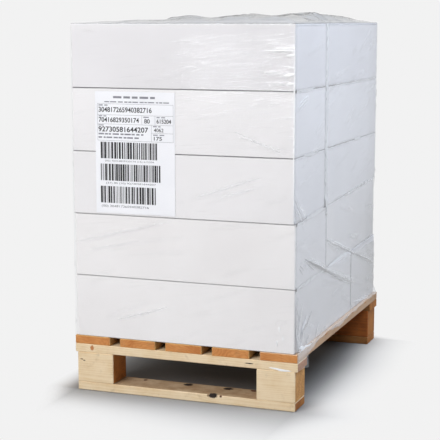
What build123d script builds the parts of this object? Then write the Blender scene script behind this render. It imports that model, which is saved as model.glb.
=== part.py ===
# A pallet load of plain cartons under shrink film, on a wooden half pallet.
# Millimetres; the origin is at the middle of the footprint on the floor.
# +Z is up, +X is to the right and -Y is the front, where the label is.
import os

from build123d import *

os.makedirs("parts", exist_ok=True)

# Pallet
pallet_width = 600.0  # left to right
pallet_depth = 800.0  # front to back
deck_board_count = 5
deck_board_width = 98.0
deck_thickness = 22.0
stringer_depth = 80.0  # the cross boards right under the deck
stringer_thickness = 22.0
block_width = 100.0
block_depth = 80.0
block_height = 78.0
bottom_depth = 80.0
bottom_thickness = 22.0
foot_inset = 6.0  # blocks and bottom boards stop short of the deck's sides
edge_break = 1.5  # sawn edges are worn this much

# Bark notch in the front bottom board
notch_centre = 77.0
notch_width = 24.0
notch_depth = 9.0
notch_height = 7.0

# Load: how its faces stand back from the pallet's edges
left_setback = 0.5
right_setback = 12.5
front_setback = 1.0
back_setback = 1.0
high_gap = 12.0  # between the two cartons of an upper layer
low_gap = 0.5  # and of the two lowest layers
layer_count = 5
low_layer_count = 2
low_step = 4.0  # these two stand this much further to the right

# Cartons: a shallow one and one of twice its depth fill each layer
carton_width = pallet_width - left_setback - right_setback
shallow_depth = (pallet_depth - front_setback - back_setback - high_gap) / 3
deep_depth = 2 * shallow_depth
carton_height = 159.0
corner_radius = 4.0  # upright score folds
score_radius = 2.5  # folds of the flaps
flap_thickness = 4.0
flap_gap = 3.0  # between the two outer flaps
flap_line_depth = 1.2  # cut edge of the outer flap on the end panels
flap_line_height = 1.0

# The third layer is crushed towards the back, so the seams below it climb
first_seam_rise = 17.0
second_seam_rise = 26.0

# Film
film_wall = 0.4
film_clearance = 0.3
flare_height = 30.0  # over this height the film widens to the deck
step_height = 12.0  # and over this one it steps to the upper layers
crown_slope_inset = 60.0
crown_slope_rise = 14.0
crown_top_inset = 180.0
crown_top_rise = 24.0

# Label, an untrimmed A4 sheet
label_width = 215.0
label_height = 305.0
label_thickness = 0.2
label_corner = 1.0
label_from_left = 173.0  # from the pallet's left edge to the label's middle
label_drop = 8.0  # from the top of the fourth layer

# Heights and faces that the pieces share
stringer_base = bottom_thickness + block_height
deck_base = stringer_base + stringer_thickness
deck_top = deck_base + deck_thickness
load_top = deck_top + layer_count * carton_height
low_load_top = deck_top + low_layer_count * carton_height
load_front = front_setback - pallet_depth / 2
low_load_back = load_front + shallow_depth + deep_depth + low_gap
high_load_back = pallet_depth / 2 - back_setback
load_left = left_setback - pallet_width / 2
high_load_right = load_left + carton_width
low_load_right = high_load_right + low_step
high_middle = load_left + carton_width / 2
skin = film_clearance + film_wall


def board(label, centre_x, centre_y, base, size_x, size_y, thickness, notched=False):
    with BuildPart() as piece:
        with BuildSketch(Plane((centre_x, centre_y, base))):
            Rectangle(size_x, size_y)
        extrude(amount=thickness)
        chamfer(piece.edges(), length=edge_break)
        if notched:
            front_edge = Plane(
                origin=(notch_centre, centre_y - size_y / 2, base + thickness),
                x_dir=(0, 1, 0),
                z_dir=(1, 0, 0),
            )
            with BuildSketch(front_edge.offset(-notch_width / 2)):
                Polygon((0, 0), (notch_depth, 0), (0, -notch_height), align=None)
            extrude(amount=notch_width, mode=Mode.SUBTRACT)
    piece.part.label = label
    export_step(piece.part, f"parts/{label}.step")


# Height of the joint under layer number, counted from 0, at a depth y
def seam(number, y):
    rise = {1: first_seam_rise, 2: second_seam_rise}.get(number, 0)
    climb_share = (y - load_front) / (high_load_back - load_front)
    return deck_top + number * carton_height + rise * climb_share


def carton(label, number, front, depth, middle_x):
    back = front + depth
    middle_y = front + depth / 2
    side_view = Plane(origin=(middle_x, 0, 0), x_dir=(0, 1, 0), z_dir=(1, 0, 0))
    with BuildPart() as piece:
        with BuildSketch(side_view):
            Polygon(
                (front, seam(number, front)),
                (back, seam(number, back)),
                (back, seam(number + 1, back)),
                (front, seam(number + 1, front)),
                align=None,
            )
        extrude(amount=carton_width / 2, both=True)
        fillet(piece.edges().filter_by(Axis.Z), radius=corner_radius)
        flaps = piece.faces().sort_by(Axis.Z)
        fillet(flaps[0].edges() + flaps[-1].edges(), radius=score_radius)
        # The outer flaps meet at a gap, and their cut edges show on the end panels
        for joint, inward in ((number, 1), (number + 1, -1)):
            with BuildSketch(side_view):
                with Locations((middle_y, seam(joint, middle_y))):
                    Rectangle(flap_gap, 2 * flap_thickness)
            extrude(amount=carton_width / 2, both=True, mode=Mode.SUBTRACT)
            near = inward * flap_thickness
            far = near + inward * flap_line_height
            for end in (-1, 1):
                with BuildSketch(side_view.offset(end * (carton_width / 2 - flap_line_depth))):
                    Polygon(
                        (front, seam(joint, front) + near),
                        (back, seam(joint, back) + near),
                        (back, seam(joint, back) + far),
                        (front, seam(joint, front) + far),
                        align=None,
                    )
                extrude(amount=end * flap_line_depth, mode=Mode.SUBTRACT)
    piece.part.label = label
    export_step(piece.part, f"parts/{label}.step")


# Deck boards run front to back, evenly spaced
deck_pitch = (pallet_width - deck_board_width) / (deck_board_count - 1)
for number in range(deck_board_count):
    board(
        f"deck_board_{number + 1}",
        (deck_board_width - pallet_width) / 2 + number * deck_pitch,
        0,
        deck_base,
        deck_board_width,
        pallet_depth,
        deck_thickness,
    )

# Cross boards, corner blocks and bottom boards at the front and the back
foot_width = pallet_width - 2 * foot_inset
for place, end in (("front", -1), ("back", 1)):
    board(
        f"stringer_{place}",
        0,
        end * (pallet_depth - stringer_depth) / 2,
        stringer_base,
        pallet_width,
        stringer_depth,
        stringer_thickness,
    )
    for hand, side in (("left", -1), ("right", 1)):
        board(
            f"block_{place}_{hand}",
            side * (foot_width - block_width) / 2,
            end * (pallet_depth - block_depth) / 2,
            bottom_thickness,
            block_width,
            block_depth,
            block_height,
        )
    board(
        f"bottom_board_{place}",
        0,
        end * (pallet_depth - bottom_depth) / 2,
        0,
        foot_width,
        bottom_depth,
        bottom_thickness,
        notched=place == "front",
    )

# Layers of cartons; only the lowest has its deep carton at the front,
# and the back carton of the second keeps in line with the upper layers
for number in range(layer_count):
    low = number < low_layer_count
    middle_x = high_middle + low_step if low else high_middle
    front_depth = deep_depth if number == 0 else shallow_depth
    back_depth = shallow_depth if number == 0 else deep_depth
    back_x = high_middle if number == 1 else middle_x
    back_front = load_front + front_depth + (low_gap if low else high_gap)
    carton(f"carton_{number + 1}_front", number, load_front, front_depth, middle_x)
    carton(f"carton_{number + 1}_back", number, back_front, back_depth, back_x)

# Film: sections from the deck up, each as height, left, right, back and inset
half_width = pallet_width / 2
narrowing = low_load_top + second_seam_rise
film_sections = (
    (deck_top, -half_width, half_width, low_load_back, 0),
    (deck_top + flare_height, load_left, low_load_right, low_load_back, 0),
    (low_load_top - step_height, load_left, low_load_right, low_load_back, 0),
    (low_load_top, load_left, low_load_right, high_load_back, 0),
    (narrowing, load_left, low_load_right, high_load_back, 0),
    (narrowing + step_height, load_left, high_load_right, high_load_back, 0),
    (load_top, load_left, high_load_right, high_load_back, 0),
    (load_top + crown_slope_rise, load_left, high_load_right, high_load_back, crown_slope_inset),
    (load_top + crown_top_rise, load_left, high_load_right, high_load_back, crown_top_inset),
)
skirt_depth = low_load_back - load_front + 2 * skin
skirt_middle = (low_load_back + load_front) / 2
corner_depth = stringer_depth - front_setback + skin
corner_middle = load_front - skin + corner_depth / 2
with BuildPart() as film_wrap:
    for grow, mode in ((skin, Mode.ADD), (film_clearance, Mode.SUBTRACT)):
        for level, left, right, back, inset in film_sections:
            lift = grow if level >= load_top else 0
            centre = ((left + right) / 2, (load_front + back) / 2, level + lift)
            with BuildSketch(Plane(centre)):
                Rectangle(
                    right - left + 2 * (grow - inset),
                    back - load_front + 2 * (grow - inset),
                )
        loft(ruled=True, mode=mode)
    # A skirt over the deck's sides, lower at the front over the stringer's ends
    for side in (-1, 1):
        skirt_x = side * (half_width + skin - film_wall / 2)
        with BuildSketch(Plane((skirt_x, skirt_middle, deck_base))):
            Rectangle(film_wall, skirt_depth)
        extrude(amount=deck_thickness)
        with BuildSketch(Plane((skirt_x, corner_middle, stringer_base))):
            Rectangle(film_wall, corner_depth)
        extrude(amount=stringer_thickness)
film_wrap.part.label = "film_wrap"
export_step(film_wrap.part, "parts/film_wrap.step")

label_top = load_top - carton_height - label_drop
film_front = Plane(
    origin=(label_from_left - half_width, load_front - skin, label_top - label_height / 2),
    x_dir=(1, 0, 0),
    z_dir=(0, -1, 0),
)
with BuildPart() as shipping_label:
    with BuildSketch(film_front):
        RectangleRounded(label_width, label_height, label_corner)
    extrude(amount=label_thickness)
shipping_label.part.label = "shipping_label"
export_step(shipping_label.part, "parts/shipping_label.step")
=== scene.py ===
import math

import bpy
import numpy as np
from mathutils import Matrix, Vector


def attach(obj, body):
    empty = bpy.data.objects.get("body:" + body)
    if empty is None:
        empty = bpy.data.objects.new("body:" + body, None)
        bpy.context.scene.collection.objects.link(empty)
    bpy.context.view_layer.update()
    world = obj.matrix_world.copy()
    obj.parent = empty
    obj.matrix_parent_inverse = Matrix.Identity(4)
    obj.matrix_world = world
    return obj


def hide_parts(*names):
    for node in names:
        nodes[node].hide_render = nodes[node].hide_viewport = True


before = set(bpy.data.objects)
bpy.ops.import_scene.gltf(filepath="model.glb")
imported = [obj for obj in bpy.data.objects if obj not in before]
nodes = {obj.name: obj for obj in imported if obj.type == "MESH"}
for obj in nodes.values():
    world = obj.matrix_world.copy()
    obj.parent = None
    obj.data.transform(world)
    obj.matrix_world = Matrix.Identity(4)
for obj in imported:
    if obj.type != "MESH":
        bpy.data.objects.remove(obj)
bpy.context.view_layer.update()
scene = bpy.context.scene
mm = 0.001
print("frame loaded:", len(nodes), "nodes")


def paintColour(red, green, blue):
    # a colour as a picture editor shows it, 0 to 255, made linear
    parts = [c / 255 for c in (red, green, blue)]
    return tuple(c / 12.92 if c <= 0.04045 else ((c + 0.055) / 1.055) ** 2.4 for c in parts) + (1.0,)


def findSocket(sockets, key):
    if isinstance(key, int):
        return sockets[key]
    return next(s for s in sockets if s.name == key and s.enabled)


class Wire:
    # one output socket, with the arithmetic of Math nodes
    def __init__(self, tree, socket):
        self.tree, self.socket = tree, socket

    def maths(self, operation, *others, swap=False):
        values = [self, *others]
        if swap:
            values.reverse()
        return self.tree.add("ShaderNodeMath", {"operation": operation}, dict(enumerate(values)))

    def __add__(self, other):
        return self.maths("ADD", other)

    def __sub__(self, other):
        return self.maths("SUBTRACT", other)

    def __rsub__(self, other):
        return self.maths("SUBTRACT", other, swap=True)

    def __mul__(self, other):
        return self.maths("MULTIPLY", other)

    def __truediv__(self, other):
        return self.maths("DIVIDE", other)

    def __rtruediv__(self, other):
        return self.maths("DIVIDE", other, swap=True)

    __radd__ = __add__
    __rmul__ = __mul__

    def output(self, name):
        return Wire(self.tree, findSocket(self.socket.node.outputs, name))

    def ramp(self, low, high, start=0.0, end=1.0):
        # a smooth climb from start to end as the value goes from low to high
        sockets = {"Value": self, "From Min": low, "From Max": high, "To Min": start, "To Max": end}
        return self.tree.add("ShaderNodeMapRange", {"interpolation_type": "SMOOTHSTEP"}, sockets)


class NodeTree:
    def __init__(self, tree):
        self.tree = tree

    def add(self, kind, settings=None, sockets=None, out=0):
        node = self.tree.nodes.new(kind)
        for key, value in (settings or {}).items():
            setattr(node, key, value)
        for key, value in (sockets or {}).items():
            socket = findSocket(node.inputs, key)
            if isinstance(value, Wire):
                self.tree.links.new(value.socket, socket)
            else:
                socket.default_value = value
        return Wire(self, findSocket(node.outputs, out)) if len(node.outputs) else None

    def blend(self, factor, *colours):
        # from the first colour to the second; each is a wire, or red, green and blue from 0 to 255
        first, second = (c if isinstance(c, Wire) else paintColour(*c) for c in colours)
        return self.add("ShaderNodeMix", {"data_type": "RGBA"}, {0: factor, 6: first, 7: second}, out=2)

    def noise(self, place, scale, detail, rough=0.5, stir=0.0):
        sockets = {"Vector": place, "Scale": scale, "Detail": detail, "Roughness": rough, "Distortion": stir}
        return self.add("ShaderNodeTexNoise", None, sockets)

    def stretch(self, place, scale, move=(0, 0, 0), turn=(0, 0, 0)):
        sockets = {"Vector": place, "Scale": scale, "Location": move, "Rotation": turn}
        return self.add("ShaderNodeMapping", None, sockets)

    def vector(self, operation, *values, out="Vector"):
        return self.add("ShaderNodeVectorMath", {"operation": operation}, dict(enumerate(values)), out)

    def axis(self, vector, name):
        return self.add("ShaderNodeSeparateXYZ", None, {0: vector}, name)

    def attribute(self, name):
        return self.add("ShaderNodeAttribute", {"attribute_name": name}, out="Fac")

    def seenRays(self):
        # 1 for what the camera sees, in a mirror or through the film too, 0 for light that is thrown on
        rays = self.add("ShaderNodeLightPath", out="Is Camera Ray")
        rays = rays + rays.output("Is Glossy Ray") + rays.output("Is Transmission Ray")
        return rays.maths("MINIMUM", 1.0)


class Finish(NodeTree):
    # a material with one Principled shader; in the socket names an underscore stands for a space
    def __init__(self, name, **constants):
        self.material = bpy.data.materials.new(name)
        self.material.use_nodes = True
        super().__init__(self.material.node_tree)
        self.shader = self.tree.nodes["Principled BSDF"]
        for key, value in constants.items():
            self.shader.inputs[key.replace("_", " ")].default_value = value
        self.place = self.add("ShaderNodeTexCoord", out="Object")

    def drive(self, **sockets):
        for key, wire in sockets.items():
            self.tree.links.new(wire.socket, self.shader.inputs[key.replace("_", " ")])

    def bump(self, height, distance, strength):
        sockets = {"Height": height, "Distance": distance, "Strength": strength}
        self.drive(Normal=self.add("ShaderNodeBump", None, sockets))


# sawn pine: rings round a heart line, fibres along it, knots, slits and bark where the boards have them
pine = {
    # colours of the long faces, each with its late rings
    "pale": (232, 211, 178), "paleRing": (212, 180, 134),
    "deck": (208, 164, 104), "deckRing": (166, 112, 58),
    "wrapped": (208, 174, 142), "wrappedRing": (174, 136, 104),
    # the dark colours, with their end grain, and the next pair: the back pieces are partly darker wood,
    # partly painted shade from lying under the load
    "dark": (183, 104, 46), "darkRing": (127, 66, 26),
    "shadedBack": (170, 114, 62), "shadedBackRing": (122, 76, 36),
    # colours of the end grain
    "deckEnd": (208, 144, 84), "deckEndRing": (176, 106, 52),
    "blockEnd": (222, 168, 104), "blockEndRing": (182, 126, 68),
    "boardEnd": (182, 120, 62), "boardEndRing": (142, 82, 36),
    "darkEnd": (184, 116, 48), "darkEndRing": (146, 88, 32),
    # the inner end colour: darker end grain, partly painted shade on the block's inner face
    "innerEnd": (206, 134, 68), "innerEndRing": (164, 100, 44),
    # what lies on the wood, and a painted shade for the tops of the bottom boards under the deck
    "stain": (150, 118, 84), "underDeckShade": (138, 106, 76),
    # the near-black bark is partly painted shade in the slits and notches it fills
    "knot": (84, 44, 22), "redKnot": (184, 124, 78), "bark": (24, 13, 7),
    "ringSpacing": 6.5 * mm, "ringWander": 46 * mm, "fibreSqueeze": 0.045, "bumpDepth": 0.5 * mm,
    # the deck boards: step from board to board, underside, and where their hearts lie
    "deckStep": 125.5 * mm, "deckUnder": 122 * mm,
    "heartAside": 30 * mm, "heartDepth": 35 * mm, "heartStep": 12 * mm,
}


def sawnPine(name, along, heart, face, end, seed, marks=(), underDeckShading=0.0):
    # along is the axis of the fibres, heart a point on the middle of the rings
    wood = Finish(name, Metallic=0.0, Specular_IOR_Level=0.3)
    squeeze, flatten = [1.0, 1.0, 1.0], [1.0, 1.0, 1.0]
    squeeze[along], flatten[along] = pine["fibreSqueeze"], 0.0
    fibreRoom = wood.stretch(wood.place, squeeze, (seed * 3.1, seed * 1.7, seed * 0.9))
    drift = wood.noise(fibreRoom, 26.0, 3.0)
    fibre = wood.noise(fibreRoom, 700.0, 4.0, 0.7)
    across = wood.vector("MULTIPLY", wood.vector("SUBTRACT", wood.place, heart), flatten)
    radius = wood.vector("LENGTH", across, out="Value") + drift * pine["ringWander"]
    rough = wood.noise(wood.place, 260.0, 3.0)
    spots = []
    for middle, size, tint in marks:
        # a mark is an oval: its middle, its three half widths in mm, its colour
        away = wood.vector("SUBTRACT", wood.place, middle)
        away = wood.vector("MULTIPLY", away, tuple(1 / (half * mm) for half in size))
        away = wood.vector("LENGTH", away, out="Value") + (rough - 0.5) * 0.7
        radius = radius + away.ramp(0.3, 3.2, min(size) * mm, 0.0)   # the grain swings round it
        spots.append((away.ramp(0.6, 1.05, 1.0, 0.0), tint))
    late = (radius / pine["ringSpacing"]).maths("PINGPONG", 0.5) * 2.0
    patch = wood.noise(wood.stretch(wood.place, (1, 1, 1), (seed, 2.0 * seed, 0)), 22.0, 4.0, 0.6)
    facing = wood.add("ShaderNodeNewGeometry", out="Normal")
    endGrain = wood.axis(facing, along).maths("ABSOLUTE").ramp(0.75, 0.95)
    sideTone = (late * 0.3 + fibre * 0.6 - 0.15 + (patch - 0.5) * 1.1).ramp(0.0, 1.0)
    endTone = (late * 0.36 + (patch - 0.5) * 1.8 + 0.25).ramp(0.0, 1.0)
    sideColour = wood.blend(sideTone, pine[face], pine[face + "Ring"])
    endColour = wood.blend(endTone, pine[end + "End"], pine[end + "EndRing"])
    colour = wood.blend(endGrain, sideColour, endColour)
    # painted shade on the upward faces, as the bottom boards lie in the shade of the deck
    if underDeckShading:
        upward = wood.axis(facing, "Z").ramp(0.6, 0.95)
        colour = wood.blend(upward * (patch.ramp(0.2, 0.8, 0.55, 1.0) * underDeckShading), colour, pine["underDeckShade"])
    stains = wood.noise(wood.place, 38.0, 4.0, 0.6).ramp(0.56, 0.78) * 0.35
    colour = wood.blend(stains, colour, pine["stain"])
    for spot, tint in spots:
        colour = wood.blend(spot, colour, pine[tint])
    wood.drive(Base_Color=colour, Roughness=fibre * 0.2 + 0.62 + late * -0.1)
    wood.bump(fibre * 0.6 + late * 0.35 + rough * 0.25, pine["bumpDepth"], 0.6)
    return wood.material


def dress(nodeName, material):
    node = nodes[nodeName]
    node.data.materials.clear()
    node.data.materials.append(material)


# the right side of the deck, under the film: paler, with brown specks along its upper edge
deckSide, speckDeep, speckTall = 0.3, 4, 2.2
sideSpecks = [((deckSide, y, z), (speckDeep, length, speckTall), tint) for y, z, length, tint in (
    (-0.31, 0.140, 12, "redKnot"), (-0.24, 0.141, 9, "knot"), (-0.15, 0.140, 14, "redKnot"),
    (-0.06, 0.141, 6, "knot"), (0.01, 0.139, 11, "redKnot"), (0.05, 0.141, 7, "knot"),
    (0.12, 0.140, 15, "redKnot"), (0.26, 0.139, 12, "redKnot"))]
for number in range(1, 6):
    heartX = (number - 3) * pine["deckStep"] + (-1) ** number * pine["heartAside"]
    heart = (heartX, 0, pine["deckUnder"] - pine["heartDepth"] - number * pine["heartStep"])
    face, specks = ("wrapped", sideSpecks) if number == 5 else ("deck", [])
    dress(f"deck_board_{number}", sawnPine(f"deckPine{number}", 1, heart, face, "deck", number, specks))

# the boards and blocks that run across: face, end grain, painted shade on top, a point on the heart line, the
# marks
firstSeed = 11
crossPieces = {
    "stringer_front": ("pale", "board", 0.0, (0, -0.44, 0.02), [
        ((-0.253, -0.4, 0.113), (6, 8, 8), "redKnot"), ((0.175, -0.4, 0.112), (13, 4, 1.6), "bark")]),
    # the back pieces take the darker colours, partly painted shade
    "stringer_back": ("shadedBack", "dark", 0.0, (0, 0.30, 0.03), [
        ((0.11, 0.4, 0.109), (6, 6, 6), "redKnot")]),
    "bottom_board_front": ("pale", "board", 0.85, (0, -0.33, -0.06), [
        ((-0.133, -0.333, 0.022), (6, 8, 6), "knot"), ((-0.012, -0.335, 0.022), (15, 13, 8), "bark"),
        ((0.097, -0.335, 0.022), (15, 12, 8), "bark"), ((0.164, -0.330, 0.022), (12, 8, 8), "knot"),
        ((0.078, -0.397, 0.0192), (15, 18, 6.5), "bark"), ((0.10, -0.398, 0.02), (4, 6, 3), "knot")]),
    "bottom_board_back": ("shadedBack", "dark", 0.85, (0, 0.37, -0.07), [
        ((-0.05, 0.34, 0.022), (8, 8, 8), "knot")]),
    "block_front_left": ("pale", "inner", 0.0, (0, -0.34, -0.02), [
        ((-0.283, -0.4, 0.081), (5, 3, 1.6), "knot"), ((-0.276, -0.4, 0.078), (4, 3, 1.4), "bark")]),
    "block_front_right": ("pale", "block", 0.0, (0, -0.39, -0.05), []),
    "block_back_left": ("pale", "block", 0.0, (0, 0.35, 0.16), []),
    "block_back_right": ("dark", "dark", 0.0, (0, 0.39, 0.0), []),
}
for seed, (nodeName, (face, end, underDeckShading, heart, marks)) in enumerate(crossPieces.items(), firstSeed):
    dress(nodeName, sawnPine("pinePale." + nodeName, 0, heart, face, end, seed, marks, underDeckShading))
print("pallet boards finished")


# white lined cartons: flute lines that just show, grey handling marks, and painted shade lines along the
# seams and the top edge
board = {
    # the layers' whites follow the light: the top layer's darker white is painted shade, the low layers'
    # brighter white painted light
    "lowWhite": (239, 237, 237), "lowShade": (230, 227, 227),
    "midWhite": (237, 235, 236), "midShade": (227, 225, 226),
    "topWhite": (229, 227, 229), "topShade": (219, 217, 219),
    "layerTones": ("low", "low", "mid", "mid", "top"),
    "mark": (184, 181, 178), "seamShade": (92, 90, 92), "fluteWidth": 7.2 * mm,
    "loadFront": -399 * mm, "loadDepth": 798 * mm,
    # seams, drawn as lines of painted shade, the last one over the rounded top edge: height at the front,
    # climb to the back, strength
    "seams": ((0.144, 0, 0.5), (0.303, 17 * mm, 0.55), (0.462, 26 * mm, 0.65),
              (0.621, 0, 0.8), (0.780, 0, 0.85), (0.9394, 0, 0.34)),
    # where two cartons meet in the low layers, a line of painted shade: place, from, to
    "joints": ((-0.1366, 0.318, 0.478), (0.1254, 0.0, 0.318)), "jointFade": 4 * mm,
}


def whiteCarton(name, seed, tone):
    card = Finish(name, Metallic=0.0, Specular_IOR_Level=0.35)
    moved = card.stretch(card.place, (1, 1, 1), (seed * 0.7, seed * 1.3, seed * 0.4))
    cloud = card.noise(moved, 4.0, 4.0, 0.55)
    speck = card.noise(moved, 700.0, 2.0, 0.7)
    x, y, z = (card.axis(card.place, letter) for letter in "XYZ")
    flutes = ((x + y) * (math.tau / board["fluteWidth"])).maths("SINE")
    paper = (cloud * 0.9 + speck * 0.25 - 0.1).ramp(0.1, 0.9)
    colour = card.blend(paper, board[tone + "White"], board[tone + "Shade"])
    marks = card.noise(card.stretch(moved, (1, 1, 2.4)), 17.0, 5.0, 0.65).ramp(0.64, 0.8) * 0.22
    colour = card.blend(marks, colour, board["mark"])
    depth = (y - board["loadFront"]) / board["loadDepth"]
    facing = card.axis(card.add("ShaderNodeNewGeometry", out="Normal"), "X").maths("ABSOLUTE")
    # along the sides the painted shade of the seams comes and goes
    press = 1.0 - facing.ramp(0.6, 0.95) * card.noise(moved, 46.0, 2.0).ramp(0.35, 0.6, 0.3, 0.9)
    for height, climb, strength in board["seams"]:
        away = (z - height - depth * climb).maths("ABSOLUTE") + (cloud - 0.5) * (1.2 * mm)
        colour = card.blend(away.ramp(0.5 * mm, 2.2 * mm, strength, 0.0) * press, colour, board["seamShade"])
    for place, low, high in board["joints"]:
        away = (y - place).maths("ABSOLUTE")
        within = z.ramp(low - board["jointFade"], low) * z.ramp(high, high + board["jointFade"], 1.0, 0.0)
        colour = card.blend(away.ramp(1.0 * mm, 5.0 * mm, 0.7, 0.0) * within, colour, board["seamShade"])
    card.drive(Base_Color=colour, Roughness=cloud * 0.2 + 0.48)
    card.bump(flutes * 0.06 + cloud * 2.0 + speck * 0.05, 0.6 * mm, 0.35)
    return card.material


cartonNames = []
for layer, tone in enumerate(board["layerTones"], 1):
    for turn, place in enumerate(("front", "back")):
        cartonNames.append(f"carton_{layer}_{place}")
        dress(cartonNames[-1], whiteCarton(f"cartonBoard{layer}.{place}", layer * 2 + turn, tone))
print("cartons finished")


# the shrink film: one hood over the load, pulled tight on the sides and crumpled on the top
film = {
    "across": 130, "deep": 120, "high": 130, "cornerRadius": 2 * mm,
    "topHeight": 939.8 * mm, "frontFace": -399.45 * mm, "seed": 7,
    # the lower edge at the sides, in mm, from front to back, and in front and behind
    "sideEdge": ((0, 100), (0.085, 101), (0.115, 128), (0.2, 140), (0.35, 143),
                 (0.5, 133), (0.62, 140), (0.8, 143), (1, 143)),
    "frontEdge": 146 * mm,
    # the gathered top: how many tents, and how high they reach in mm along a line that slants to the back
    "topTents": 70, "topSlant": 0.39,
    "topReach": ((-0.32, 1.5), (-0.2, 5), (-0.11, 9), (-0.05, 9), (-0.025, 16), (0.023, 21), (0.076, 15),
                 (0.13, 20), (0.17, 25), (0.249, 18), (0.3, 26), (0.357, 28), (0.465, 24), (0.503, 18),
                 (0.542, 9), (0.6, 2)),
    # ranges of half length, half width and share of that height; between the tents the film lies lower
    "tentLength": (0.1, 0.26), "tentWidth": (0.04, 0.1), "tentShare": (0.55, 1.0), "betweenTents": 0.45,
    "rimWidth": 35 * mm,   # from nothing at the rim of the top to full height this far in
    # no folds under the label: left, right, low, high
    "labelRoom": (-0.245, -0.009, 0.455, 0.784),
    # the loose scrap low at the front of the right side: its top, its ends, how far it stands out
    "scrapTop": 0.124, "scrapBack": -0.305, "scrapFront": -0.398, "scrapRise": 6 * mm,
    "jointAt": -0.131,   # the upright joint of the upper layers, veiled and given a thin line of painted shade
    # the grey tint of the painted shade in the film comes last
    "mirrorTint": (238, 241, 247), "veilTint": (248, 248, 249), "foldShadeTint": (132, 131, 129),
}
rand = np.random.default_rng(film["seed"])


def glide(value, points):
    # values read off a broken line, with its corners eased
    keys, heights = (np.array(row) for row in zip(*points))
    spot = np.clip(np.searchsorted(keys, value, side="right") - 1, 0, len(keys) - 2)
    share = np.clip((value - keys[spot]) / (keys[spot + 1] - keys[spot]), 0, 1)
    share = share * share * (3 - 2 * share)
    return heights[spot] + (heights[spot + 1] - heights[spot]) * share


def slope(value, start, run):
    # 0 up to start, 1 from start + run on; a negative run goes the other way
    return np.clip((value - start) / run, 0, 1)


def rightFace(y, z):
    front = glide(z, [(0, 300.8), (0.144, 300.8), (0.2, 292.6), (0.484, 292.3), (0.502, 288.2), (1, 288.2)])
    back = glide(z, [(0, 300.8), (0.144, 300.8), (0.17, 292.6), (0.29, 292.3), (0.33, 288.4), (1, 288.2)])
    return (front + (back - front) * slope(y, -0.13, 0.09)) * mm


def leftFace(z):
    return glide(z, [(0, -300.8), (0.144, -300.8), (0.23, -298.4), (0.34, -300.2), (1, -300.2)]) * mm


def backFace(z):
    return glide(z, [(0, 388.2), (0.452, 388.2), (0.49, 399.7), (1, 399.7)]) * mm


def spread(count, edge, fine=5):
    # places from 0 to 1, closer together in the last few millimetres at both ends
    ends = np.linspace(0, edge, fine, endpoint=False)
    return np.concatenate([ends, np.linspace(edge, 1 - edge, count + 1 - 2 * fine), 1 - ends[::-1]])


def buildHood():
    # a box without a floor, from 0 to 1 on each axis
    acrossAt = spread(film["across"], 0.0085)
    deepAt = spread(film["deep"], 0.0063)
    highAt = np.unique(np.concatenate([
        np.linspace(0, 0.16, 22), np.linspace(0.16, 0.985, film["high"] - 30), np.linspace(0.985, 1.0, 8)]))
    numbers, spots, quads = {}, [], []

    def addQuad(*corners):
        quad = []
        for i, j, k in corners:
            if (i, j, k) not in numbers:
                numbers[i, j, k] = len(spots)
                spots.append((acrossAt[i], deepAt[j], highAt[k]))
            quad.append(numbers[i, j, k])
        quads.append(quad)

    lastX, lastY, lastZ = len(acrossAt) - 1, len(deepAt) - 1, len(highAt) - 1
    for k in range(lastZ):
        for i in range(lastX):
            addQuad((i, 0, k), (i + 1, 0, k), (i + 1, 0, k + 1), (i, 0, k + 1))
            addQuad((i + 1, lastY, k), (i, lastY, k), (i, lastY, k + 1), (i + 1, lastY, k + 1))
        for j in range(lastY):
            addQuad((lastX, j, k), (lastX, j + 1, k), (lastX, j + 1, k + 1), (lastX, j, k + 1))
            addQuad((0, j + 1, k), (0, j, k), (0, j, k + 1), (0, j + 1, k + 1))
    for i in range(lastX):
        for j in range(lastY):
            addQuad((i, j, lastZ), (i + 1, j, lastZ), (i + 1, j + 1, lastZ), (i, j + 1, lastZ))
    return np.array(spots), np.array(quads)


def foldHeight(a, b, folds):
    # height of straight ridges on a face with coordinates a and b
    # each ridge is (a0, b0, a1, b1, half width, height) in mm
    total = np.zeros_like(a)
    for a0, b0, a1, b1, wide, high in folds:
        run = np.array([a1 - a0, b1 - b0])
        length = np.hypot(*run)
        along = ((a - a0) * run[0] + (b - b0) * run[1]) / length
        aside = ((b - b0) * run[0] - (a - a0) * run[1]) / length
        inside = np.clip(along / length, 0, 1)
        taper = np.sin(np.pi * inside) ** 0.6 * (along > 0) * (along < length)
        near = np.abs(aside) < 4 * wide
        total[near] += high * taper[near] * np.exp(-(aside[near] / wide) ** 2)
    return total


def looseFolds(count, box, angles, lengths, widths, heights):
    # seeded straight folds inside a box (a0, b0, a1, b1); one in three is a shallow dent
    found = []
    for _ in range(count):
        middle = rand.uniform(box[:2], box[2:])
        angle = math.radians(rand.uniform(*angles))
        half = rand.uniform(*lengths) / 2
        step = np.array([math.cos(angle), math.sin(angle)]) * half
        wide = rand.uniform(*widths)
        high = rand.uniform(*heights) * rand.choice([1, 1, -0.4])
        found.append((*(middle - step), *(middle + step), wide, high))
    return found


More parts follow.
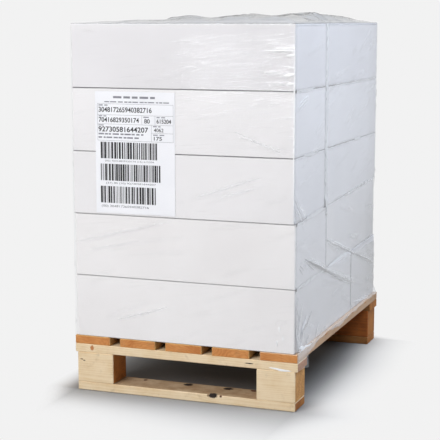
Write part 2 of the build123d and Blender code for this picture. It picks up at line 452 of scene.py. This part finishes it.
frontFolds = [
    (136, 681, 258, 627, 4, 0.3), (150, 672, 262, 640, 3, 0.25), (19, 512, 200, 575, 6, 0.4),
    (60, 500, 215, 556, 5, 0.3), (-297, 389, -42, 453, 7, 0.6), (-255, 371, -116, 400, 6, 0.45),
    (-179, 194, -41, 236, 5, 0.4), (241, 216, 274, 226, 5, 0.5), (224, 875, 286, 877, 4, 1.4),
    (214, 863, 286, 865, 4, 1.2), (204, 826, 286, 815, 5, 1.5), (219, 795, 286, 797, 4, 1.2),
]
frontFolds += looseFolds(26, (-40, 795, 280, 935), (-14, 14), (60, 200), (3.5, 7), (0.15, 0.5))
frontFolds += looseFolds(10, (10, 640, 280, 775), (-6, 6), (60, 160), (4, 7), (0.1, 0.3))
frontFolds += looseFolds(8, (40, 470, 270, 600), (8, 24), (60, 160), (4, 7), (0.1, 0.3))
frontFolds += looseFolds(12, (-290, 310, 280, 455), (5, 20), (60, 200), (4, 8), (0.1, 0.35))
frontFolds += looseFolds(10, (-290, 150, 280, 300), (5, 24), (50, 160), (4, 8), (0.1, 0.35))
rightFolds = [
    (-126, 384, 150, 305, 6, 2.2), (150, 305, 392, 234, 6, 2.0), (-302, 362, -118, 302, 7, 2.4),
    (-118, 302, 147, 222, 7, 2.2), (-353, 364, -301, 338, 4, 1.2), (-396, 150, -392, 282, 5, 1.5),
    (-394, 146, -345, 262, 6, 2.0), (-392, 146, -300, 220, 6, 1.8), (-390, 144, -240, 150, 6, 1.5),
    (-391, 524, -305, 458, 5, 1.6), (-391, 505, -330, 440, 4, 1.2), (-392, 733, -290, 764, 5, 1.0),
    (-378, 746, -300, 768, 4, 0.8), (155, 163, 329, 150, 4, 1.2),
]
rightFolds += looseFolds(34, (-390, 490, 390, 930), (6, 26), (60, 220), (4, 8), (0.25, 0.9))
rightFolds += looseFolds(12, (-390, 320, 390, 470), (-22, -4), (90, 300), (4, 9), (0.3, 1.0))
rightFolds += looseFolds(14, (-390, 150, 390, 300), (-20, 10), (60, 220), (4, 8), (0.4, 1.4))
leftFolds = looseFolds(46, (-390, 150, 390, 930), (-18, 12), (90, 330), (5, 9), (0.3, 1.1))
backFolds = looseFolds(60, (-290, 150, 290, 930), (-16, 16), (80, 300), (5, 9), (0.3, 1.3))


def topCrumple(x, y):
    # the gathered top: soft tents of film laid over each other, low at the left and high to the right
    reach = glide(x + film["topSlant"] * (y + 0.4), film["topReach"]) * mm
    height = np.zeros_like(x)
    for _ in range(film["topTents"]):
        middle = rand.uniform((-0.3, -0.4), (0.29, 0.4))
        angle = rand.uniform(0, math.pi)
        half = rand.uniform(*film["tentLength"])
        wide = rand.uniform(*film["tentWidth"])
        share = rand.uniform(*film["tentShare"])
        along = (x - middle[0]) * math.cos(angle) + (y - middle[1]) * math.sin(angle)
        aside = -(x - middle[0]) * math.sin(angle) + (y - middle[1]) * math.cos(angle)
        tent = np.clip(1 - np.abs(aside) / wide, 0, 1) ** 1.3
        tent = tent * np.clip(1.5 - 1.5 * np.abs(along) / half, 0, 1)
        height = np.maximum(height, reach * np.maximum(film["betweenTents"], share * tent))
    return height


def tightHood():
    # the hood before it is folded: points, faces, outward directions, which points lie on which side,
    # and how far each is from the rim of the top
    spots, quads = buildHood()
    a, b, c = spots.T
    on = {"front": b == 0, "back": b == 1, "left": a == 0, "right": a == 1, "top": c == 1}
    # the lower edge: on the deck in front and behind, over the deck's sides left and right
    ragged = 1.6 * mm * np.sin(b * 61) + 1.2 * mm * np.sin(b * 23 + 1) + 0.8 * mm * np.sin(b * 140)
    sideEdge = glide(b, film["sideEdge"]) * mm + ragged
    lowEdge = np.where(on["left"] | on["right"], sideEdge, film["frontEdge"] + 0.8 * mm * np.sin(a * 40))
    z = lowEdge + (film["topHeight"] - lowEdge) * c
    left, right = leftFace(z), rightFace(-0.4 + 0.8 * b, z)
    front, back = np.full_like(z, film["frontFace"]), backFace(z)
    point = np.stack([left + (right - left) * a, front + (back - front) * b, z], 1)
    radius = film["cornerRadius"]
    x, y, z = point.T
    inner = np.stack([np.clip(x, left + radius, right - radius), np.clip(y, front + radius, back - radius),
                      np.minimum(z, film["topHeight"] - radius)], 1)
    out = point - inner
    out /= np.maximum(np.linalg.norm(out, axis=1, keepdims=True), 1e-9)
    point = inner + out * radius
    x, y, z = point.T
    rim = np.minimum.reduce([x - left, right - x, y - front, back - y])
    return point, quads, out, on, rim


def foldRise(x, y, z, on, scrap):
    # how far the folds of the sides stand out
    rise = np.zeros_like(z)
    for name, folds, along in (("front", frontFolds, x), ("right", rightFolds, y),
                               ("left", leftFolds, y), ("back", backFolds, x)):
        rise[on[name]] += foldHeight(along[on[name]] / mm, z[on[name]] / mm, folds) * mm
    left, right, low, high = film["labelRoom"]
    rise[on["front"] & (x > left) & (x < right) & (z > low) & (z < high)] = 0.0
    rise = np.maximum(rise, -0.15 * mm)   # dents stop at the cartons
    rise[z < 0.15] *= 0.3   # flatter beside the deck
    loose = slope(z[scrap], film["scrapTop"], -0.02) * slope(y[scrap], film["scrapFront"], 0.06)
    rise[scrap] += film["scrapRise"] * loose
    return rise


def makeFilm():
    point, quads, out, on, rim = tightHood()
    x, y, z = point.T
    top, side = on["top"], on["right"]
    scrap = side & (z < film["scrapTop"]) & (y < film["scrapBack"])
    rise = foldRise(x, y, z, on, scrap)
    lift = np.zeros_like(z)
    lift[top] = topCrumple(x[top], y[top]) * slope(rim[top], 0, film["rimWidth"]) ** 0.7
    point = point + out * rise[:, None]
    point[:, 2] += lift
    # white haze: a painted highlight on the crests of the folds, and on the top a haze that thickens as it
    # rises
    hazeAndHighlight = np.clip(rise / (1.5 * mm), 0, 1) * 0.4
    hazeAndHighlight[top] = 0.06 + 0.1 * slope(lift[top], 0, 26 * mm)
    # painted shade: the gathered top is tinted grey, more where it rises
    grey = np.where(top, 0.56 + 0.26 * slope(lift, 0, 20 * mm), 0.0)
    # painted shade on the side: darker towards the back edge and low down, and a thin line of it along the
    # front corner
    shade = 0.14 * slope(y, 0.28, 0.12) + 0.1 * slope(y, -0.384, -0.012)
    shade += 0.1 * slope(y, 0.05, 0.25) * slope(z, 0.52, -0.15)
    shade += 0.17 * slope(z, 0.62, -0.4)
    # over the upright joint of the upper layers: a white veil, painted light over the gap's shade, and a grey
    # tint, a thin line of painted shade
    jointPaint = glide(np.abs(y - film["jointAt"]), [(0, 1), (0.007, 1), (0.014, 0)])
    jointPaint = jointPaint * glide(z, [(0.44, 0), (0.465, 1)])
    overDeck = slope(z, 0.15, -0.006)
    hazeAndHighlight[side] += (0.8 * jointPaint + 0.15 * overDeck)[side]
    grey[side] += ((shade + 0.2 * jointPaint) * slope(z, 0.138, 0.02))[side]
    hazeAndHighlight[scrap] = 0.07
    # where the film is pulled into fine streaks
    pull = np.full_like(z, 0.25)
    pull[side | on["left"] | on["back"]] = 0.45
    streaky = slope(x, -0.06, 0.1) * slope(z, 0.62, 0.12)
    pull[on["front"]] += streaky[on["front"]]
    pull[top] = 0.1
    pull[side] *= np.clip((z[side] - 0.12) / 0.08, 0.1, 1)
    # the rim of the top takes no gloss
    pull *= np.clip(np.where(top, rim / 0.03, (film["topHeight"] - z) / 0.06), 0, 1)
    return point, quads, hazeAndHighlight, grey, pull


filmParts = makeFilm()
print("film hood:", len(filmParts[1]), "faces")


def ribbon(place, spots, wide, shine, dark, lifts=(0.0, 0.5)):
    # a doubled pleat: a narrow strip along a broken line, pointed at both ends; its shine is a painted
    # highlight, its dark a painted shade
    # place turns (a, b) in mm into a point; lifts are how far the edges and the middle stand off
    spots = np.array(spots, float)
    legs = np.hypot(*np.diff(spots, axis=0).T)
    reached = np.concatenate([[0], np.cumsum(legs)])
    steps = np.linspace(0, reached[-1], max(8, int(reached[-1] / 8)))
    count = len(steps)
    line = np.stack([np.interp(steps, reached, spots[:, n]) for n in (0, 1)], 1)
    line[:, 1] += 0.8 * np.sin(steps / 17.0) + 0.5 * np.sin(steps / 7.0)   # not quite straight
    run = np.gradient(line, axis=0)
    run /= np.linalg.norm(run, axis=1, keepdims=True)
    aside = np.stack([-run[:, 1], run[:, 0]], 1)
    half = 0.5 * wide * np.sin(np.pi * np.linspace(0.02, 0.98, count)) ** 0.7
    points, faces = [], []
    for row, (share, lift) in enumerate(((-1, lifts[0]), (0, lifts[1]), (1, lifts[0]))):
        points.append(np.stack(place(*(line + aside * (half * share)[:, None]).T, lift), 1))
        if row:
            low, high = (row - 1) * count, row * count
            faces += [[low + i, low + i + 1, high + i + 1, high + i] for i in range(count - 1)]
    points = np.concatenate(points)
    return points, np.array(faces), *(np.full(len(points), value) for value in (shine, dark, 0.2))


def onRight(y, z, lift):
    stand = np.maximum(foldHeight(y, z, rightFolds), 0) + 0.5 + lift
    return rightFace(y * mm, z * mm) + stand * mm, y * mm, z * mm


def onFront(x, z, lift):
    stand = np.maximum(foldHeight(x, z, frontFolds), 0) + 0.4 + lift
    return x * mm, film["frontFace"] - stand * mm, z * mm


# strips: a line in mm, its width, how white (painted highlight) and how dark (painted shade) it is, and how
# it lies
flat, above = (-0.2, -0.2), (0.1, 0.1)   # lying on the film, or just over another strip
sideStrips = [
    # long folds across the lower side, one of them doubled into a lens, drawn in painted shade with painted
    # highlights along some
    ([(-140, 386), (133, 307), (384, 235)], 4.5, 0.05, 0.4),
    ([(-326, 367), (-135, 304), (-40, 274)], 6, 0.05, 0.5),
    ([(-150, 310), (13, 256), (127, 226)], 10, 0.1, 0.3),
    ([(-126, 391), (150, 311)], 2.5, 0.5, 0.0), ([(-120, 292), (140, 216)], 2.5, 0.5, 0.0),
    ([(-332, 364), (-244, 326)], 4, 0.0, 0.35), ([(-364, 357), (-334, 340)], 3.5, 0.0, 0.3),
    ([(-372, 352), (-344, 332)], 3, 0.0, 0.25), ([(139, 165), (311, 147)], 3, 0.5, 0.2),
    # the upright joint behind the film: veiled above with dots of painted shade, a thin line of painted shade
    # below, and one on the joint of the lowest layer
    *[([(-135, z - half), (-135, z + half)], 8, 0.0, 0.22, above) for z, half in (
        (925, 5), (900, 7), (875, 4), (815, 6), (797, 5), (773, 6), (748, 4), (640, 5), (604, 6), (566, 4),
        (530, 6))],
    ([(-138, 472), (-137, 400), (-138, 312)], 5, 0.0, 0.45), ([(-142, 309), (-134, 302)], 9, 0.0, 0.9),
    ([(120, 308), (119, 220), (119, 148)], 6, 0.0, 0.4),
    # white strips over the seams of the side, a painted highlight, dots of painted shade where they meet the
    # corner, thin dashes of painted shade along them
    ([(-392, 303), (-150, 309)], 9, 0.4, 0.1, flat), ([(-112, 310), (128, 315)], 12, 0.6, 0.12, flat),
    ([(-325, 465), (-152, 471)], 10, 0.5, 0.1, flat), ([(40, 477), (396, 489)], 10, 0.35, 0.08, flat),
    ([(-390, 780), (-250, 780)], 8, 0.4, 0.1, flat), ([(-10, 780), (396, 780)], 6, 0.15, 0.05, flat),
    ([(-330, 621), (-200, 621)], 8, 0.4, 0.1, flat), ([(150, 621), (215, 621)], 8, 0.6, 0.12, flat),
    *[([(-398, z - 3), (-391, z + 4)], 8, 0.0, 0.8) for z in (302, 461, 779)],
    ([(-245, 781), (-165, 781)], 2.5, 0.0, 0.4), ([(-118, 781), (-35, 781)], 2.5, 0.0, 0.5),
    ([(-60, 621.5), (-15, 621.5)], 2.5, 0.0, 0.4), ([(20, 621.5), (95, 621.5)], 2.5, 0.0, 0.4),
    ([(150, 480.5), (300, 485)], 2.5, 0.0, 0.4),
    # the fan at the lower front corner and the one above it: painted shade in the folds, painted highlights
    # beside them
    ([(-394, 160), (-388, 215), (-380, 282)], 8, 0.0, 0.25), ([(-385, 252), (-358, 212)], 7, 0.0, 0.25),
    ([(-372, 166), (-340, 189), (-300, 200), (-262, 224)], 7, 0.0, 0.35),
    ([(-332, 156), (-298, 171)], 6, 0.0, 0.35), ([(-252, 155), (-205, 183)], 6, 0.0, 0.3),
    ([(-233, 147), (-157, 163)], 6, 0.0, 0.25), ([(-352, 190), (-300, 222)], 9, 0.5, 0.0),
    ([(-392, 158), (-352, 153)], 9, 0.95, 0.0), ([(-394, 147), (-340, 152), (-290, 148)], 5, 0.8, 0.0),
    ([(-394, 520), (-350, 470), (-330, 462)], 3, 0.0, 0.35), ([(-394, 500), (-366, 468)], 3, 0.0, 0.3),
    ([(-394, 733), (-340, 749), (-290, 766)], 4, 0.6, 0.0), ([(-380, 745), (-300, 769)], 4, 0.6, 0.0),
    ([(-352, 733), (-290, 756)], 4, 0.5, 0.0),
]
frontStrips = [
    # painted highlights at the right edge, and a few lower down, with two faint lines of painted shade
    ([(285, 934), (285.5, 800), (285, 640), (285.5, 480)], 3.5, 0.85, 0.0),
    ([(205, 873), (262, 876), (287, 877)], 4, 0.8, 0.0), ([(264, 863), (287, 865)], 7, 0.95, 0.0),
    ([(255, 838), (287, 834)], 4, 0.8, 0.0), ([(258, 815), (287, 822)], 8, 0.95, 0.0),
    ([(266, 797), (287, 799)], 5, 0.9, 0.0), ([(262, 716), (287, 718)], 4, 0.8, 0.0),
    ([(270, 668), (287, 666)], 4, 0.8, 0.0), ([(-179, 194), (-41, 236)], 4.5, 0.25, 0.0, flat),
    ([(-298, 387), (-150, 424), (-42, 452)], 6, 0.0, 0.09), ([(-258, 370), (-116, 400)], 5, 0.0, 0.07),
    ([(252, 212), (253, 196)], 6, 0.8, 0.0), ([(261, 190), (262, 172)], 5, 0.8, 0.0),
    ([(246, 176), (247, 160)], 5, 0.6, 0.0), ([(226, 106), (256, 103), (284, 102)], 7, 0.95, 0.0),
    ([(136, 681), (200, 655), (264, 629)], 3, 0.35, 0.0, flat),
    ([(152, 667), (258, 640)], 3, 0.3, 0.0, flat),
    ([(40, 518), (120, 546), (205, 574)], 4, 0.22, 0.0, flat),
    ([(100, 520), (190, 548)], 3.5, 0.2, 0.0, flat),
]
pleats = [ribbon(onRight, *strip) for strip in sideStrips]
pleats += [ribbon(onFront, *strip) for strip in frontStrips]


def joinMeshes(name, parts, material, attributes):
    # parts are (points, faces, one array for each attribute)
    points, faces, start = [], [], 0
    values = [[] for _ in attributes]
    for part in parts:
        points.append(part[0])
        faces += [[start + n for n in face] for face in part[1]]
        start += len(part[0])
        for kept, value in zip(values, part[2:]):
            kept.append(value)
    mesh = bpy.data.meshes.new(name)
    mesh.from_pydata(np.concatenate(points).tolist(), [], faces)
    for attribute, kept in zip(attributes, values):
        layer = mesh.attributes.new(attribute, "FLOAT", "POINT")
        layer.data.foreach_set("value", np.concatenate(kept).astype(np.float32))
    mesh.materials.append(material)
    piece = bpy.data.objects.new(name, mesh)
    scene.collection.objects.link(piece)
    return piece


def clearFilm():
    skin = Finish("stretchFilm", IOR=1.5, Specular_IOR_Level=0.5)
    hazeAndHighlightAt, foldShadeAt, pullAt = (skin.attribute(name) for name in ("hazeAndHighlight", "fold", "pull"))
    edgeOn = skin.add("ShaderNodeLayerWeight", None, {"Blend": 0.5}, out="Facing")   # the same on both sides
    upward = skin.axis(skin.add("ShaderNodeNewGeometry", out="Normal"), "Z").ramp(0.4, 0.9)
    foldShadeAt = foldShadeAt * (1.0 - upward * (1.0 - edgeOn) * 0.8)   # the gathered top is clearer looked at straight
    gloss = edgeOn.maths("POWER", 4.0) * 0.8 + 0.04
    streakRoom = skin.stretch(skin.stretch(skin.place, (1, 1, 1), turn=(-0.16, 0.14, 0)), (5, 5, 75))
    streak = skin.noise(streakRoom, 2.4, 4.0, 0.6, 0.5)
    crinkle = skin.noise(skin.stretch(skin.place, (1, 1, 2.2)), 55.0, 4.0, 0.6, 1.2)
    cloud = skin.noise(skin.place, 5.0, 2.0)
    # the white veil carries the painted highlights of the folds and strips, and fine streaks
    veil = hazeAndHighlightAt * (0.5 + crinkle) + streak.ramp(0.55, 0.78) * pullAt * 0.16 + 0.01
    shine = gloss * (0.8 + cloud * 0.4) * pullAt.ramp(0.0, 0.1)
    whole = veil + shine + foldShadeAt
    mirror = shine / whole
    colour = skin.blend(mirror, film["veilTint"], film["mirrorTint"])
    # painted shade: the film turns grey in its folds, on the side and on the gathered top
    colour = skin.blend((foldShadeAt * 1.4).maths("MINIMUM", 1.0), colour, film["foldShadeTint"])
    skin.drive(Base_Color=colour, Alpha=whole.maths("MINIMUM", 0.96), Metallic=mirror,
               Roughness=veil * 0.5 + 0.09)
    skin.bump(streak * (pullAt * 1.6) + crinkle * pullAt, 1.2 * mm, 0.5)
    return skin.material


hood = joinMeshes("filmHood", [filmParts] + pleats, clearFilm(), ("hazeAndHighlight", "fold", "pull"))
for polygon in hood.data.polygons:
    polygon.use_smooth = True
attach(hood, "root")
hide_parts("film_wrap")
print("film finished")


# the delivery label: paper from the frame, print set just in front of it
label = {
    "left": -234.5, "top": 772.0, "wide": 215.0, "tall": 305.0, "printFace": -400.05 * mm,
    "paper": (242, 242, 246), "paperShade": (230, 231, 236), "ink": (16, 16, 20), "smallInk": (128, 128, 136),
    "ruleWidth": 0.5 * mm,
}


def labelPaper():
    sheet = Finish("labelPaper", Metallic=0.0, Specular_IOR_Level=0.3)
    pulp = sheet.noise(sheet.place, 300.0, 4.0, 0.6)
    wave = sheet.noise(sheet.place, 12.0, 2.0)
    tone = (pulp * 0.5 + wave * 0.6 - 0.1).ramp(0.1, 0.9)
    colour = sheet.blend(tone, label["paper"], label["paperShade"])
    sheet.drive(Base_Color=colour, Roughness=pulp * 0.15 + 0.5)
    sheet.bump(pulp * 0.1 + wave, 0.5 * mm, 0.3)
    return sheet.material


def printInk():
    ink = Finish("labelInk", Metallic=0.0)
    worn = ink.noise(ink.place, 500.0, 3.0, 0.7)
    pale = (worn.ramp(0.45, 0.8) * 0.25 + ink.attribute("small")).maths("MINIMUM", 1.0)
    ink.drive(Base_Color=ink.blend(pale, label["ink"], label["smallInk"]), Roughness=worn * 0.2 + 0.45)
    ink.bump(worn, 0.05 * mm, 0.3)
    return ink.material


dress("shipping_label", labelPaper())
inkMaterial = printInk()


def rowTree():
    # a row of upright marks: seeded widths and gaps, drawn out to fill the row
    group = bpy.data.node_groups.new("printRow", "GeometryNodeTree")
    kinds = {"Count": "Int", "Seed": "Int", "Width": "Float", "Height": "Float", "Start": "Vector",
             "Widest": "Int", "Narrowest": "Int", "Widest gap": "Int", "Ink": "Material"}
    for name, kind in kinds.items():
        group.interface.new_socket(name=name, in_out="INPUT", socket_type="NodeSocket" + kind)
    group.interface.new_socket(name="Geometry", in_out="OUTPUT", socket_type="NodeSocketGeometry")
    tree = NodeTree(group)
    source = tree.add("NodeGroupInput")
    given = {name: source.output(name) for name in kinds}

    def draw(low, high, seed):
        sockets = {4: low, 5: high, "Seed": seed}
        return tree.add("FunctionNodeRandomValue", {"data_type": "INT"}, sockets, out=2)

    wide = draw(given["Narrowest"], given["Widest"], given["Seed"])
    gap = draw(1, given["Widest gap"], given["Seed"] + 1)
    sums = tree.add("GeometryNodeAccumulateField", {"data_type": "FLOAT"}, {"Value": wide + gap},
                    out="Trailing")
    unit = given["Width"] / sums.output("Total")
    middle = tree.add("ShaderNodeCombineXYZ", None, {"X": (sums + wide * 0.5) * unit})
    place = tree.vector("ADD", middle, given["Start"])
    points = tree.add("GeometryNodePoints", None, {"Count": given["Count"]})
    points = tree.add("GeometryNodeSetPosition", None, {"Geometry": points, "Position": place})
    square = {"Size X": 1.0, "Size Y": 1.0, "Vertices X": 2, "Vertices Y": 2}
    mark = tree.add("GeometryNodeMeshGrid", None, square)
    size = tree.add("ShaderNodeCombineXYZ", None, {"X": wide * unit, "Y": given["Height"], "Z": 1.0})
    upright = {"Points": points, "Instance": mark, "Rotation": (math.pi / 2, 0, 0), "Scale": size}
    placed = tree.add("GeometryNodeInstanceOnPoints", None, upright)
    real = tree.add("GeometryNodeRealizeInstances", None, {"Geometry": placed})
    inked = tree.add("GeometryNodeSetMaterial", None, {"Geometry": real, "Material": given["Ink"]})
    tree.add("NodeGroupOutput", None, {"Geometry": inked})
    return group


rowGroup = rowTree()


def meshOf(carrier):
    found = bpy.data.meshes.new_from_object(carrier.evaluated_get(bpy.context.evaluated_depsgraph_get()))
    points = np.array([v.co for v in found.vertices])
    faces = [list(p.vertices) for p in found.polygons]
    bpy.data.meshes.remove(found)
    return points, faces


def labelSpot(u, v):
    return (label["left"] + u * label["wide"]) * mm, (label["top"] - v * label["tall"]) * mm


def markRow(u0, u1, v0, v1, count, seed, widest, narrowest=1):
    # bars, or from a narrowest width of 2 on the pale blocks that stand for words
    (x0, z0), (x1, z1) = labelSpot(u0, v0), labelSpot(u1, v1)
    carrier = bpy.data.objects.new("markRow", bpy.data.meshes.new("markRow"))
    scene.collection.objects.link(carrier)
    modifier = carrier.modifiers.new("row", "NODES")
    modifier.node_group = rowGroup
    values = {"Count": count, "Seed": seed, "Width": x1 - x0, "Height": z0 - z1,
              "Start": (x0, label["printFace"], (z0 + z1) / 2),
              "Widest": widest, "Narrowest": narrowest, "Widest gap": 2, "Ink": inkMaterial}
    for item in rowGroup.interface.items_tree:
        if item.in_out == "INPUT":
            modifier[item.identifier] = values[item.name]
    points, faces = meshOf(carrier)
    carrier.modifiers.remove(modifier)
    bpy.data.objects.remove(carrier)
    return points, faces, np.full(len(points), 1.0 if narrowest > 1 else 0.0)


def rule(u0, v0, u1, v1):
    (x0, z0), (x1, z1) = labelSpot(u0, v0), labelSpot(u1, v1)
    half = label["ruleWidth"] / 2
    if u0 == u1:
        x0, x1 = x0 - half, x1 + half
    else:
        z0, z1 = z0 + half, z1 - half
    y = label["printFace"]
    return np.array([(x0, y, z1), (x1, y, z1), (x1, y, z0), (x0, y, z0)]), [[0, 1, 2, 3]], np.full(4, 0.4)


def numberRow(digits, u0, u1, v0, v1, weight=0.0):
    # digits drawn out to fill their place; without a weight they are small and pale
    words = bpy.data.curves.new("digits", "FONT")
    words.body, words.offset = digits, weight
    carrier = bpy.data.objects.new("digits", words)
    scene.collection.objects.link(carrier)
    points, faces = meshOf(carrier)
    bpy.data.objects.remove(carrier)
    (x0, z0), (x1, z1) = labelSpot(u0, v0), labelSpot(u1, v1)
    low, high = points.min(0), points.max(0)
    x = x0 + (points[:, 0] - low[0]) / (high[0] - low[0]) * (x1 - x0)
    z = z1 + (points[:, 1] - low[1]) / (high[1] - low[1]) * (z0 - z1)
    y = np.full_like(x, label["printFace"])
    return np.stack([x, y, z], 1), faces, np.full(len(x), 0.0 if weight else 0.5)


# places on the label run from 0 to 1, across and down
printParts = [
    markRow(.23, .78, .037, .054, 5, 3, 9, 5), markRow(.12, .95, .079, .088, 12, 5, 8, 3),
    rule(.03, .10, .98, .10), rule(.03, .19, .98, .19), rule(.03, .265, .98, .265), rule(.03, .40, .98, .40),
    rule(.03, .10, .03, .40), rule(.98, .10, .98, .40), rule(.59, .19, .59, .265),
    rule(.755, .19, .755, .265), rule(.71, .265, .71, .40), rule(.71, .33, .98, .33),
    markRow(.045, .17, .107, .116, 2, 31, 6, 4),
    numberRow("304817265940382716", .045, .715, .126, .168, 0.018),
    markRow(.045, .15, .196, .204, 2, 33, 6, 4), numberRow("70416829350174", .045, .555, .210, .250, 0.018),
    markRow(.61, .69, .198, .206, 1, 34, 6, 5), numberRow("80", .62, .69, .216, .252, 0.012),
    markRow(.775, .90, .198, .206, 2, 35, 6, 4), numberRow("615204", .775, .955, .216, .250, 0.018),
    markRow(.04, .13, .271, .279, 1, 36, 6, 5), numberRow("92730581644207", .04, .67, .285, .328, 0.02),
    markRow(.04, .63, .340, .352, 9, 37, 8, 3), markRow(.04, .56, .368, .380, 8, 38, 8, 3),
    markRow(.73, .84, .272, .280, 2, 39, 6, 4), numberRow("4062", .74, .86, .290, .320, 0.012),
    markRow(.73, .88, .340, .348, 2, 40, 6, 4), numberRow("175", .74, .84, .358, .388, 0.012),
    markRow(.065, .79, .412, .548, 31, 41, 4),
    numberRow("(02) 70416829350174 (15) 615204", .12, .74, .560, .577),
    markRow(.063, .83, .592, .730, 33, 42, 4),
    numberRow("(37) 80 (10) 92730581644207", .13, .76, .742, .760),
    markRow(.06, .77, .776, .915, 29, 43, 4), numberRow("(00) 304817265940382716", .07, .67, .932, .955),
]
printPiece = joinMeshes("labelPrint", printParts, inkMaterial, ("small",))
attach(printPiece, "root")
print("label printed:", len(printPiece.data.polygons), "faces")


# studio: pale floor that runs out into the background, soft lamps, the photograph's camera
studio = {
    "ground": (242, 242, 242), "floorNear": (204, 202, 199), "floorDark": (118, 118, 118),
    "floorDeep": (70, 70, 70), "floorReach": 30.0, "floorHeight": -0.4 * mm,
    "worldLight": 0.48, "worldTint": (0.97, 0.98, 1.0, 1.0),
    "palletHalf": (0.3, 0.4),
    # how far the soft contact shadow runs out; it is painted into the floor's colour, on top of the lamps'
    # own shadows
    "shadeReach": {"left": 0.09, "right": 0.208, "frontLeft": 0.24, "frontRight": 0.43, "back": 0.07},
    # place, target, width, height, power, colour
    "lamps": {
        "keySoftbox": ((-1.3, -4.0, 2.6), (0, 0, 0.45), 2.2, 2.0, 160, (0.99, 0.988, 0.985)),
        "topSoftbox": ((0.3, -0.4, 3.4), (0.1, 0, 0.5), 2.6, 2.6, 22, (1.0, 1.0, 1.0)),
        "backFill": ((-1.9, 2.4, 0.6), (0, 0, 0.45), 2.4, 0.7, 42, (1.0, 1.0, 1.0)),
        "sideFill": ((1.5, -0.4, 2.3), (0.29, 0.0, 0.85), 0.7, 1.0, 44, (0.77, 0.86, 1.0)),
    },
    "cameraAt": (1.2005, -3.3476, 0.9489), "cameraYaw": 20.499, "cameraDown": 8.743, "lens": 106.77,
}


def floorPaper():
    paper = Finish("floorPaper", Metallic=0.0, Roughness=0.9, Specular_IOR_Level=0.0)
    x, y = (paper.axis(paper.place, letter) for letter in "XY")
    halfWide, halfDeep = studio["palletHalf"]
    reach = studio["shadeReach"]
    frontReach = x.ramp(-halfWide, halfWide, reach["frontLeft"], reach["frontRight"])
    # on the right the painted shadow starts under the pallet, further in towards the back
    rightStart = y.ramp(-0.42, -0.25, 0.29, 0.237) - y.ramp(0.05, 0.3, 0.0, 0.022)
    aside = ((x - rightStart) / reach["right"]).maths("MAXIMUM", (-halfWide - x) / reach["left"])
    along = ((y - halfDeep) / reach["back"]).maths("MAXIMUM", (-halfDeep - y) / frontReach)
    # 0 under the pallet, 1 where the painted contact shadow ends
    away = aside.maths("MAXIMUM", 0.0) + along.maths("MAXIMUM", 0.0)
    tone = paper.blend(away.ramp(-0.4, 0.8), studio["floorDark"], studio["floorNear"])
    # painted deeper shade under the pallet, away from the key light
    lee = x.ramp(-0.36, -0.26, 0.0, 0.38) + x.ramp(0.1, 0.22, 0.0, 0.16)
    lee = lee * x.ramp(0.24, 0.36, 1.0, 0.0)
    lee = lee * y.ramp(-0.42, -0.34) * y.ramp(0.34, 0.42, 1.0, 0.0)
    tone = paper.blend(lee, tone, studio["floorDeep"])
    bounce = paper.add("ShaderNodeLightPath", out="Is Diffuse Ray")
    # little light is thrown back up
    paper.drive(Base_Color=paper.blend(bounce * 0.7, tone, studio["floorDark"]))
    near = Wire(paper, paper.shader.outputs[0])
    far = paper.add("ShaderNodeEmission", None, {"Color": paintColour(*studio["ground"]), "Strength": 1.0})
    share = away.ramp(0.1, 1.05) * paper.seenRays()
    both = paper.add("ShaderNodeMixShader", None, {0: share, 1: near, 2: far})
    paper.tree.links.new(both.socket, paper.tree.nodes["Material Output"].inputs["Surface"])
    return paper.material


def makeFloor():
    reach = studio["floorReach"]
    corners = [(x, y, studio["floorHeight"]) for x, y in (
        (-reach, -reach), (reach, -reach), (reach, reach), (-reach, reach))]
    mesh = bpy.data.meshes.new("studioFloor")
    mesh.from_pydata(corners, [], [[0, 1, 2, 3]])
    mesh.materials.append(floorPaper())
    floor = bpy.data.objects.new("studioFloor", mesh)
    scene.collection.objects.link(floor)


def makeWorld():
    world = bpy.data.worlds.new("studioWorld")
    world.use_nodes = True
    scene.world = world
    tree = NodeTree(world.node_tree)
    up = tree.axis(tree.add("ShaderNodeTexCoord", out="Generated"), "Z")
    strength = up.ramp(0.0, 0.7, 0.0, studio["worldLight"])
    light = tree.add("ShaderNodeBackground", None, {"Color": studio["worldTint"], "Strength": strength})
    shown = tree.add("ShaderNodeBackground", None, {"Color": paintColour(*studio["ground"]), "Strength": 1.0})
    both = tree.add("ShaderNodeMixShader", None, {0: tree.seenRays(), 1: light, 2: shown})
    tree.tree.links.new(both.socket, tree.tree.nodes["World Output"].inputs["Surface"])


def makeLamps():
    for name, (spot, target, wide, tall, power, colour) in studio["lamps"].items():
        lamp = bpy.data.lights.new(name, "AREA")
        lamp.shape, lamp.size, lamp.size_y = "RECTANGLE", wide, tall
        lamp.energy, lamp.color = power, colour
        holder = bpy.data.objects.new(name, lamp)
        holder.location = spot
        holder.visible_glossy = name != "backFill"   # it would glare on the rim of the top
        holder.rotation_euler = (Vector(target) - Vector(spot)).to_track_quat("-Z", "Y").to_euler()
        scene.collection.objects.link(holder)


def makeCamera():
    lens = bpy.data.cameras.new("photoCamera")
    lens.lens, lens.sensor_width, lens.clip_end = studio["lens"], 36.0, 100.0
    camera = bpy.data.objects.new("photoCamera", lens)
    camera.location = studio["cameraAt"]
    camera.rotation_euler = (math.radians(90 - studio["cameraDown"]), 0, math.radians(studio["cameraYaw"]))
    scene.collection.objects.link(camera)
    scene.camera = camera


makeFloor()
makeWorld()
makeLamps()
makeCamera()
scene.view_settings.view_transform = "Standard"
print("studio ready")
